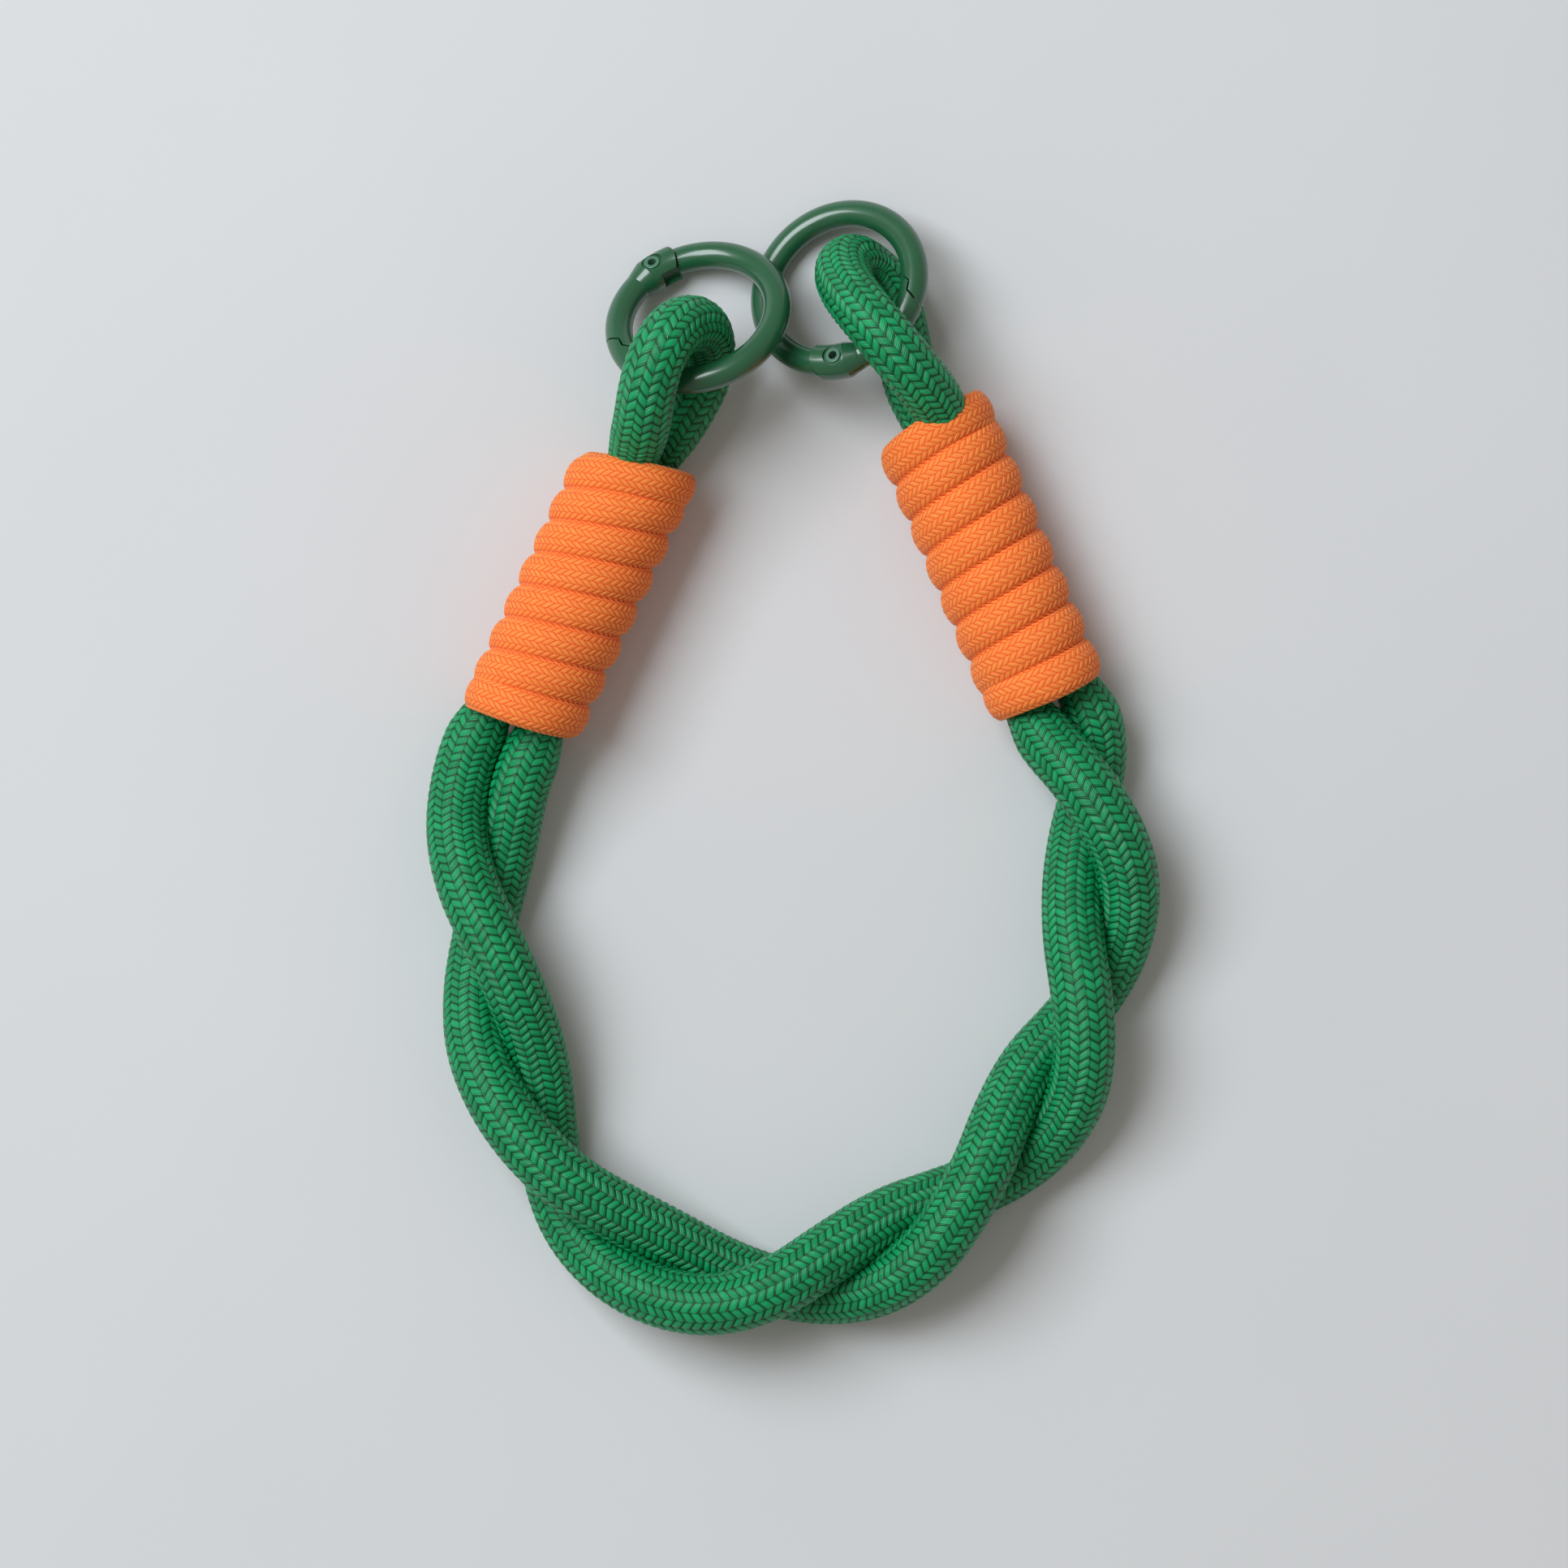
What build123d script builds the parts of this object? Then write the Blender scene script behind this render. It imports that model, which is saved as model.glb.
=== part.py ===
"""Short twisted-rope wrist strap with a spring-gate ring held in a rope eye at each end.

The strap lies flat on the ground plane, rings towards +Y. All sizes are in millimetres and
angles in degrees. +Z is up.
"""

from build123d import *
import os
from math import cos, radians, sin, tan

# ---- Rope -----------------------------------------------------------------------------
rope_diameter = 9.8  # braided rope where it runs free
drawn_diameter = 9.8  # the rope that the places and routes below are laid out for
eye_rope_diameter = 0.94 * rope_diameter  # drawn thinner where it is pulled round a ring
cover_thickness = 1.1  # braided cover over the straight filler core
bend_share = 0.45  # share of the shorter run that each arc of a rope's centreline takes

# ---- Whippings ------------------------------------------------------------------------
bundle_diameter = 1.52 * rope_diameter  # two rope runs squeezed together inside a whipping
whip_cord_thickness = 2.6  # flattened cord, measured outwards
whip_groove_depth = 0.9  # valley between one turn and the next
left_turns = 8
right_turns = 8.5
whip_ground_gap = 0.05  # between a whipping's lowest turns and the ground
bundle_twist = -90  # how far the two runs turn round each other inside a whipping

# ---- Spring-gate rings ----------------------------------------------------------------
ring_radius = 13.0  # centre of the ring to the centre of its wire
wire_radius = 2.2
barrel_radius = 2.9  # thickened hinge end of the gate
barrel_end_angle = 7  # where the barrel starts to taper towards the gate's arm
taper_end_angle = 17
knuckle_radius = 3.9  # rounded end of the barrel, centred on the rivet
knuckle_gap = 0.2
gate_span = 77  # from the rivet to the middle of the nose joint
nose_step = 1.2  # how much further the inner half of the gate's nose reaches
nose_gap = 0.3
tongue_thickness = 1.95
slot_height = 3.0
slot_side_gap = 0.15
tongue_face_gap = 0.05  # running clearance under the tongue

# ---- Rivets and springs ---------------------------------------------------------------
rivet_radius = 1.2
rivet_bore_radius = 0.7
tongue_width = 2 * rivet_radius + 0.8  # the ring's flat tongue inside the gate's slot
rivet_head_radius = rivet_radius + 0.05
rivet_head_height = 0.32
rivet_running_gap = 0.05  # between the rivet and the hole in the tongue
sink_radius = rivet_head_radius + 0.45  # shallow countersink round each rivet head
sink_floor = 2.35  # height of the countersink's floor over the ring's mid-plane
spring_wire_radius = 0.14
spring_coil_radius = rivet_radius + 0.28
spring_turns = 2
spring_pitch = 0.3
spring_lift = 0.1  # room for the lower leg, which slopes down towards the tongue
spring_leg = 2.2

# ---- Where the pieces lie -------------------------------------------------------------
# All places below are in the strap's lay-out, which grows with the rope; the shift puts the
# origin under the middle of the finished strap's box.
layout_shift = (0.45, 0.14, 0.0)

left_whip_foot = (-44.6, 6.0)
left_whip_head = (-25.0, 48.2)
right_whip_foot = (40.7, 9.8)
right_whip_head = (21.2, 55.7)

# Each ring: the seat, where its wire runs through the rope eye; compass direction of its level
# diameter; tilt; and the seat's and the rivet's places counted round the ring from that diameter.
left_ring_seat = (-19.21, 60.82, 17.99)
left_seat_angle = 237.0
left_ring_heading = 20.7
left_ring_tilt = 38.5
left_rivet_angle = 106.7
right_ring_seat = (17.38, 71.86, 15.34)
right_seat_angle = 286.0
right_ring_heading = 48.9
right_ring_tilt = 31.0
right_rivet_angle = 225.0

# Centrelines of the rope, as points that the straight runs between bends meet at.
strand_a_route = [
    (-47.4, 11.6, 9.6), (-51.2, 4.8, 9.0), (-53.6, -2.6, 8.6), (-54.4, -10.6, 10.0), (-52.8, -18.4, 13.6),
    (-49.2, -26.2, 15.4), (-45.4, -34.2, 14.6), (-42.4, -42.4, 10.6), (-40.6, -50.6, 7.4), (-40.0, -58.6, 5.2),
    (-39.0, -66.4, 5.0), (-36.0, -74.4, 6.0), (-30.0, -81.0, 9.0), (-22.0, -85.2, 12.6), (-12.6, -86.4, 15.2),
    (-3.0, -83.4, 15.4), (6.0, -77.4, 12.6), (14.6, -72.4, 8.4), (23.8, -69.6, 5.0), (32.4, -66.4, 5.0),
    (40.2, -61.0, 6.4), (45.2, -53.0, 10.6), (46.2, -44.4, 14.6), (45.4, -36.0, 15.4), (44.2, -28.0, 13.0),
    (44.2, -20.0, 9.0), (45.4, -12.0, 5.4), (47.6, -4.0, 5.0), (48.4, 3.4, 6.4), (46.8, 9.6, 8.8),
    (43.8, 14.8, 9.6),
]
strand_b_route = [
    (-39.2, 8.4, 9.6), (-42.4, 1.8, 9.4), (-44.8, -5.0, 8.6), (-46.2, -12.6, 6.2), (-48.4, -20.6, 5.0),
    (-50.6, -29.0, 5.0), (-51.8, -37.2, 6.8), (-51.2, -45.4, 10.4), (-47.8, -53.4, 13.8), (-42.6, -60.6, 15.4),
    (-36.0, -66.8, 15.0), (-28.2, -71.6, 12.0), (-20.2, -76.0, 8.4), (-12.0, -80.8, 5.4), (-3.6, -84.0, 5.0),
    (5.2, -85.2, 6.0), (13.4, -83.8, 9.0), (20.4, -79.0, 13.0), (25.6, -71.8, 15.4), (29.8, -64.0, 15.0),
    (33.0, -56.0, 11.2), (37.4, -48.2, 7.0), (43.2, -42.4, 5.0), (48.4, -36.2, 5.0), (52.2, -29.0, 7.0),
    (53.6, -21.0, 10.4), (52.0, -13.4, 13.8), (48.4, -6.8, 15.4), (44.4, -1.2, 14.4), (39.8, 4.0, 11.8),
    (35.4, 11.0, 9.6),
]
left_eye_route = [
    (-26.6, 46.6, 14.2), (-25.2, 51.0, 16.2), (-24.2, 54.6, 21.4), (-23.4, 59.4, 25.0), (-21.6, 65.2, 25.6),
    (-18.6, 69.4, 21.8), (-15.2, 70.0, 15.8), (-13.9, 66.5, 11.0), (-15.0, 61.4, 9.2), (-17.6, 56.6, 8.2),
    (-20.8, 52.0, 6.4), (-24.4, 46.8, 4.9),
]
right_eye_route = [
    (25.2, 52.4, 14.2), (22.8, 56.8, 16.8), (19.8, 60.6, 20.8), (16.4, 64.4, 23.4), (12.6, 68.8, 23.2),
    (9.2, 72.8, 20.0), (6.8, 76.4, 15.8), (6.2, 80.2, 11.6), (8.0, 81.4, 8.2), (10.8, 80.2, 5.2),
    (13.6, 77.2, 4.6), (15.8, 73.4, 5.2), (17.0, 68.4, 5.0), (18.0, 63.2, 5.2), (19.6, 58.2, 5.0),
    (22.0, 52.6, 4.9),
]


def laid(place):
    """A place in the lay-out, further out by as much as the rope is thicker than drawn."""
    return tuple(size * rope_diameter / drawn_diameter for size in place)


def arc_radii(points):
    """Radius of each bend of a rope's centreline, as large as its two runs allow."""
    radii = []
    for before, corner, after in zip(points, points[1:], points[2:]):
        run_in = Vector(*corner) - Vector(*before)
        run_out = Vector(*after) - Vector(*corner)
        half_turn = radians(run_in.get_angle(run_out)) / 2
        radii.append(bend_share * min(run_in.length, run_out.length) / tan(half_turn))
    return radii


def centreline(points):
    """A rope's centreline: straight runs joined by tangent arcs."""
    return FilletPolyline(*points, radius=arc_radii(points))


def rope_rod(points, diameter):
    """A solid round rod along a rope's centreline."""
    path = centreline(points)
    start = Plane(origin=path @ 0, z_dir=path % 0)
    return sweep(start * Circle(diameter / 2), path=path)


def long_cover(points, diameter):
    """The braided cover of a gently curved stretch: the whole rope less its core."""
    return rope_rod(points, diameter) - rope_rod(points, diameter - 2 * cover_thickness)


def tight_cover(points, diameter):
    """The braided cover of a tightly bent stretch, joined up run by run and bend by bend."""
    section = Circle(diameter / 2) - Circle(diameter / 2 - cover_thickness)
    lengths = []
    for edge in centreline(points).edges():
        start = Plane(origin=edge @ 0, z_dir=edge % 0)
        lengths.append(sweep(start * section, path=edge))
    cover = lengths[0]
    for length in lengths[1:]:
        cover += length
    return cover


def rope_pieces(name, route, diameter, make_cover):
    """The braided cover and the filler core of one free stretch of rope."""
    points = [laid(place) for place in route]
    print(name, "bend radii", [round(radius, 1) for radius in arc_radii(points)])
    print(name, "centreline length", round(centreline(points).length, 1))
    return {
        f"{name}_cover": make_cover(points, diameter),
        f"{name}_core": rope_rod(points, diameter - 2 * cover_thickness),
    }


def whipping_plane(foot, head):
    """Plane at a whipping's foot: X straight up, Z along the whipping towards its ring."""
    start = Vector(*laid(foot))
    along = Vector(*laid(head)) - start
    origin = start + Vector(0, 0, bundle_diameter / 2 + whip_cord_thickness + whip_ground_gap)
    return Plane(origin=origin, x_dir=(0, 0, 1), z_dir=along), along.length


def whipping(foot, head, turns):
    """The closed outer shape of a cord wound round the rope, with a groove between turns."""
    plane, length = whipping_plane(foot, head)
    inner = bundle_diameter / 2
    crest = inner + whip_cord_thickness
    valley = crest - whip_groove_depth
    count = round(turns)
    pitch = length / count
    outline = [Line((inner, 0), (valley, 0))]
    for turn in range(count):
        low = turn * pitch
        outline.append(ThreePointArc((valley, low), (crest, low + pitch / 2), (valley, low + pitch)))
    outline.append(Line((valley, length), (inner, length)))
    outline.append(Line((inner, length), (inner, 0)))
    half_section = Plane.XZ * make_face(outline)
    return plane.location * revolve(half_section, Axis.Z)


def whipping_space(foot, head):
    """The room between a whipping's two end planes, where no free rope runs."""
    plane, length = whipping_plane(foot, head)
    return plane.location * Cylinder(
        bundle_diameter, length, align=(Align.CENTER, Align.CENTER, Align.MIN)
    )


def squeezed_run(foot, head, side):
    """One of the two rope runs inside a whipping, squeezed to half of a round bundle."""
    plane, length = whipping_plane(foot, head)
    radius = bundle_diameter / 2
    half = Circle(radius) & Pos(0, side * radius) * Rectangle(3 * radius, 2 * radius)
    twisted = Solid.extrude_linear_with_rotation(half.face(), (0, 0, 0), (0, 0, length), bundle_twist)
    return plane.location * twisted


def wire_arc(start_angle, end_angle, radius):
    """A stretch of a ring's round wire, with angles counted from the rivet."""
    section = Plane.XZ * Pos(ring_radius, 0) * Circle(radius)
    return Rot(0, 0, start_angle) * revolve(section, Axis.Z, end_angle - start_angle)


def about_rivet(radius, height=4 * barrel_radius):
    """A cylinder round the rivet's axis."""
    return Pos(ring_radius, 0, 0) * Cylinder(radius, height)


def nose_reach():
    """Distance from the rivet to the middle of the nose joint."""
    return 2 * ring_radius * sin(radians(gate_span / 2))


def nose_shape(grow):
    """Everything on the gate's side of the hooked nose joint, grown by a gap."""
    outer_reach = nose_reach() - nose_step / 2
    inner_reach = nose_reach() + nose_step / 2
    inner_half = Cylinder(ring_radius - nose_gap / 2 + grow, 4 * barrel_radius)
    return about_rivet(outer_reach + grow) + (about_rivet(inner_reach + grow) & inner_half)


def tongue_levels():
    """Lower and upper face of the ring's tongue."""
    low = -slot_height / 2 + tongue_face_gap
    return low, low + tongue_thickness


def ring_body():
    """The C-shaped ring with its hooked end and its drilled tongue."""
    nose_end = wire_arc(gate_span - 20, 130, wire_radius) - nose_shape(nose_gap)
    main = wire_arc(130, 350, wire_radius) - about_rivet(knuckle_radius + knuckle_gap)
    low, high = tongue_levels()
    middle = (low + high) / 2
    band = Plane.XZ * Pos(ring_radius, middle) * Rectangle(tongue_width, tongue_thickness)
    tongue = Rot(0, 0, -22) * revolve(band, Axis.Z, 22)
    tongue += Pos(ring_radius, 0, middle) * Cylinder(tongue_width / 2, tongue_thickness)
    tongue -= about_rivet(rivet_radius + rivet_running_gap)
    return nose_end + main + tongue


def gate_taper():
    """The cone between the thick hinge barrel and the gate's arm."""
    ends = []
    for angle, radius in ((barrel_end_angle, barrel_radius), (taper_end_angle, wire_radius)):
        section = Plane.XZ * Pos(ring_radius, 0) * Circle(radius)
        ends.append(Rot(0, 0, angle) * section)
    return loft(ends)


def gate():
    """The sprung gate: knuckled barrel, taper, curved arm and nose, slotted for the tongue."""
    body = wire_arc(-28, 0, barrel_radius) & about_rivet(knuckle_radius)
    body += wire_arc(0, barrel_end_angle, barrel_radius)
    body += gate_taper()
    body += wire_arc(taper_end_angle, gate_span + 20, wire_radius) & nose_shape(0)
    slot_half = tongue_width / 2 + slot_side_gap
    slot = about_rivet(slot_half, slot_height)
    open_side = 2 * barrel_radius
    slot += Pos(ring_radius + slot_half, 0, 0) * Box(
        slot_half + open_side, 3 * knuckle_radius, slot_height, align=(Align.MAX, Align.MAX, Align.CENTER)
    )
    body -= slot
    body -= about_rivet(rivet_radius)
    sink_depth = 2 * barrel_radius
    for side in (-1, 1):
        body -= Pos(ring_radius, 0, side * (sink_floor + sink_depth / 2)) * Cylinder(sink_radius, sink_depth)
    leg_hole = Cylinder(2 * spring_wire_radius, spring_leg + 0.4, align=(Align.CENTER, Align.CENTER, Align.MIN))
    return body - spring_leg_place(spring_top()) * leg_hole


def rivet():
    """A hollow rivet with a rolled head at each end."""
    top = sink_floor + rivet_head_height
    body = Cylinder(rivet_radius, 2 * top)
    for side in (-1, 1):
        body += Pos(0, 0, side * (sink_floor + rivet_head_height / 2)) * Cylinder(
            rivet_head_radius, rivet_head_height
        )
    body = fillet(body.edges().filter_by(GeomType.CIRCLE).group_by(Axis.Z)[-1], 0.12)
    body = fillet(body.edges().filter_by(GeomType.CIRCLE).group_by(Axis.Z)[0], 0.12)
    return Pos(ring_radius, 0, 0) * (body - Cylinder(rivet_bore_radius, 3 * top))


def spring_bottom():
    """Height of the spring wire's centre at the coil's lower end."""
    return tongue_levels()[1] + spring_wire_radius + spring_lift


def spring_top():
    """Height of the spring wire's centre at the coil's upper end."""
    return spring_bottom() + spring_turns * spring_pitch


def spring_leg_place(height):
    """Where a leg starts on the coil, with Z along the leg towards the gate's arm."""
    return Location((ring_radius + spring_coil_radius, 0, height), (-90, 0, 0))


def gate_spring():
    """A small torsion spring round the rivet, one leg in the gate and one on the tongue."""
    coil_path = Pos(ring_radius, 0, spring_bottom()) * Helix(
        spring_pitch, spring_turns * spring_pitch, spring_coil_radius
    )
    start = Plane(origin=coil_path @ 0, z_dir=coil_path % 0)
    coil = sweep(start * Circle(spring_wire_radius), path=coil_path, is_frenet=True)
    for end in coil.faces().filter_by(GeomType.PLANE):
        coil += extrude(end, amount=spring_leg)
    return coil


def ring_place(seat, seat_angle, heading, tilt, rivet_angle):
    """Where a ring lies: its wire through the seat, its level diameter along the heading."""
    level = (cos(radians(heading)), sin(radians(heading)), 0)
    normal = (
        -sin(radians(heading)) * sin(radians(tilt)),
        cos(radians(heading)) * sin(radians(tilt)),
        cos(radians(tilt)),
    )
    at_seat = Plane(origin=laid(seat), x_dir=level, z_dir=normal).location * Rot(0, 0, seat_angle)
    return at_seat * Pos(-ring_radius, 0, 0) * Rot(0, 0, rivet_angle - seat_angle)


def ring_pieces(side, place):
    """The four pieces of one spring-gate ring."""
    return {
        f"{side}_ring_body": place * ring_body(),
        f"{side}_ring_gate": place * gate(),
        f"{side}_gate_rivet": place * rivet(),
        f"{side}_gate_spring": place * gate_spring(),
    }


def strap_pieces():
    """Rope, whippings and both rings, by node name, in the lay-out's own coordinates."""
    pieces = {}
    pieces |= rope_pieces("strand_a", strand_a_route, rope_diameter, long_cover)
    pieces |= rope_pieces("strand_b", strand_b_route, rope_diameter, long_cover)
    pieces |= rope_pieces("left_eye", left_eye_route, eye_rope_diameter, tight_cover)
    pieces |= rope_pieces("right_eye", right_eye_route, eye_rope_diameter, tight_cover)
    for foot, head in ((left_whip_foot, left_whip_head), (right_whip_foot, right_whip_head)):
        space = whipping_space(foot, head)
        for name in pieces:
            pieces[name] -= space
    pieces["left_whipping"] = whipping(left_whip_foot, left_whip_head, left_turns)
    pieces["right_whipping"] = whipping(right_whip_foot, right_whip_head, right_turns)
    pieces["left_squeezed_run_a"] = squeezed_run(left_whip_foot, left_whip_head, -1)
    pieces["left_squeezed_run_b"] = squeezed_run(left_whip_foot, left_whip_head, 1)
    pieces["right_squeezed_run_a"] = squeezed_run(right_whip_foot, right_whip_head, 1)
    pieces["right_squeezed_run_b"] = squeezed_run(right_whip_foot, right_whip_head, -1)
    left_place = ring_place(
        left_ring_seat, left_seat_angle, left_ring_heading, left_ring_tilt, left_rivet_angle
    )
    right_place = ring_place(
        right_ring_seat, right_seat_angle, right_ring_heading, right_ring_tilt, right_rivet_angle
    )
    pieces |= ring_pieces("left", left_place)
    pieces |= ring_pieces("right", right_place)
    return pieces


def main():
    """Builds every piece and writes each as parts/NODE.step."""
    os.makedirs("parts", exist_ok=True)
    for name, piece in strap_pieces().items():
        export_step(Pos(*layout_shift) * piece, f"parts/{name}.step")


main()
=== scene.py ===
"""Look of a short wrist strap: twisted braided rope, corded whippings and two spring-gate rings.

Sizes are in millimetres where a name or a comment says so, and otherwise in metres.
"""

import logging
import math
from dataclasses import dataclass
from enum import Enum

import bpy
import numpy as np
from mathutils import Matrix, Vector


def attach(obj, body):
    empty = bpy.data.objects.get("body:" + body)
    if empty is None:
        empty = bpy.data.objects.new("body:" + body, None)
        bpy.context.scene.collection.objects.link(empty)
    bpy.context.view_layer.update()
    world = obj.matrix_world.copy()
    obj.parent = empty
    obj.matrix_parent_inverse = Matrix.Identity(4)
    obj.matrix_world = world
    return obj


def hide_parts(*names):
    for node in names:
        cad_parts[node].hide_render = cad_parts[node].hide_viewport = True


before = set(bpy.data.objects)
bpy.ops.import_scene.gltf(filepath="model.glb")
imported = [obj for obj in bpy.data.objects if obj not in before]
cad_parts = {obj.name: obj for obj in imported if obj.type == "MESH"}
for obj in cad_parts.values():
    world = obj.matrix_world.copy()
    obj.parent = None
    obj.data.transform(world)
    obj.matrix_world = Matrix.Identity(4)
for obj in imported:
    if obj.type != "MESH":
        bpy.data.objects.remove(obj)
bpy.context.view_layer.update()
log = logging.getLogger("strap")

MM = 0.001
LAYOUT_SHIFT = Vector((0.45, 0.14, 0.0))  # mm, from the ropes' lay-out to the strap's own origin
EYE_PINCH = 0.84  # share of an eye rope's diameter that is left under its whipping
TURN_POINTS = 16  # control points in one turn of a whipping
START_TURN = 0.2  # turns before the first pass over the top at which the cord dives
START_REACH = 0.3  # turns over which it dives
START_DEPTH = 1.6  # mm that the start lies deeper than the turns
END_DEPTH = 2.2  # mm that the tucked end lies deeper than the turns
END_CURVE = 1.5  # how late the tucked end dives
STAGGER = 0.5  # share of a float's spacing between one column of a braid and the next
SIDES = ("left", "right")

STRAND_A = (
    (-47.4, 11.6, 9.6), (-51.2, 4.8, 9.0), (-53.6, -2.6, 8.6), (-54.4, -10.6, 10.0),
    (-52.8, -18.4, 13.6), (-49.2, -26.2, 15.4), (-45.4, -34.2, 14.6), (-42.4, -42.4, 10.6),
    (-40.6, -50.6, 7.4), (-40.0, -58.6, 5.2), (-39.0, -66.4, 5.0), (-36.0, -74.4, 6.0),
    (-30.0, -81.0, 9.0), (-22.0, -85.2, 12.6), (-12.6, -86.4, 15.2), (-3.0, -83.4, 15.4),
    (6.0, -77.4, 12.6), (14.6, -72.4, 8.4), (23.8, -69.6, 5.0), (32.4, -66.4, 5.0),
    (40.2, -61.0, 6.4), (45.2, -53.0, 10.6), (46.2, -44.4, 14.6), (45.4, -36.0, 15.4),
    (44.2, -28.0, 13.0), (44.2, -20.0, 9.0), (45.4, -12.0, 5.4), (47.6, -4.0, 5.0),
    (48.4, 3.4, 6.4), (46.8, 9.6, 8.8), (43.8, 14.8, 9.6),
)
STRAND_B = (
    (-39.2, 8.4, 9.6), (-42.4, 1.8, 9.4), (-44.8, -5.0, 8.6), (-46.2, -12.6, 6.2),
    (-48.4, -20.6, 5.0), (-50.6, -29.0, 5.0), (-51.8, -37.2, 6.8), (-51.2, -45.4, 10.4),
    (-47.8, -53.4, 13.8), (-42.6, -60.6, 15.4), (-36.0, -66.8, 15.0), (-28.2, -71.6, 12.0),
    (-20.2, -76.0, 8.4), (-12.0, -80.8, 5.4), (-3.6, -84.0, 5.0), (5.2, -85.2, 6.0),
    (13.4, -83.8, 9.0), (20.4, -79.0, 13.0), (25.6, -71.8, 15.4), (29.8, -64.0, 15.0),
    (33.0, -56.0, 11.2), (37.4, -48.2, 7.0), (43.2, -42.4, 5.0), (48.4, -36.2, 5.0),
    (52.2, -29.0, 7.0), (53.6, -21.0, 10.4), (52.0, -13.4, 13.8), (48.4, -6.8, 15.4),
    (44.4, -1.2, 14.4), (39.8, 4.0, 11.8), (35.4, 11.0, 9.6),
)
LEFT_EYE = (
    (-26.6, 46.6, 12.8), (-25.2, 51.0, 16.2), (-24.2, 54.6, 21.4), (-23.4, 59.4, 25.0),
    (-21.6, 65.2, 25.6), (-18.6, 69.4, 21.8), (-15.2, 70.0, 15.8), (-13.9, 66.5, 11.0),
    (-15.0, 61.4, 9.2), (-17.6, 56.6, 8.2), (-20.8, 52.0, 6.4), (-24.4, 46.8, 4.9),
)
RIGHT_EYE = (
    (25.2, 51.4, 11.6), (22.8, 56.8, 16.4), (19.8, 60.6, 20.8), (16.4, 64.4, 23.4),
    (12.7, 69.0, 23.2), (9.7, 72.9, 20.2), (7.7, 76.2, 16.0), (7.4, 79.3, 12.0),
    (9.2, 80.6, 8.4), (11.5, 79.5, 5.5), (13.8, 77.5, 4.6), (15.9, 73.5, 5.0),
    (17.0, 68.4, 5.0), (18.0, 63.2, 5.2), (19.6, 58.2, 5.0), (22.0, 52.6, 4.9),
)


class Lay(Enum):
    """Which way a braid's floats lean in one of its columns."""

    FALLING = -1
    RISING = 1


def linear(code: str) -> tuple[float, float, float, float]:
    """Turns an sRGB hex colour to linear red, green, blue and full alpha.

    Args:
        code: six hex digits after a hash sign.

    Returns:
        The linear colour.
    """
    shares = [int(code[place : place + 2], 16) / 255 for place in (1, 3, 5)]
    curve = [share / 12.92 if share <= 0.04045 else ((share + 0.055) / 1.055) ** 2.4 for share in shares]
    return (*curve, 1.0)


def add_node(
    tree: bpy.types.NodeTree, kind: str, inputs: dict | None = None, **settings: object
) -> bpy.types.Node:
    """Adds a shader node with its settings, its values and its links.

    Args:
        tree: the node tree to add to.
        kind: the node's type name after "ShaderNode".
        inputs: a value, or the output socket to link from, by input name or number.
        **settings: the node's own properties.

    Returns:
        The new node.
    """
    node = tree.nodes.new("ShaderNode" + kind)
    for name, value in settings.items():
        setattr(node, name, value)
    for socket, value in (inputs or {}).items():
        if isinstance(value, bpy.types.NodeSocket):
            tree.links.new(value, node.inputs[socket])
        else:
            node.inputs[socket].default_value = value
    return node


def new_material(name: str) -> bpy.types.Material:
    """Makes an empty node material.

    Args:
        name: the material's name.

    Returns:
        The material, with no nodes in its tree.
    """
    material = bpy.data.materials.new(name)
    material.use_nodes = True
    material.node_tree.nodes.clear()
    return material


def dress(piece: bpy.types.Object, material: bpy.types.Material) -> None:
    """Gives a piece its one material.

    Args:
        piece: the object to dress.
        material: the finish.
    """
    piece.data.materials.clear()
    piece.data.materials.append(material)


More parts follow.
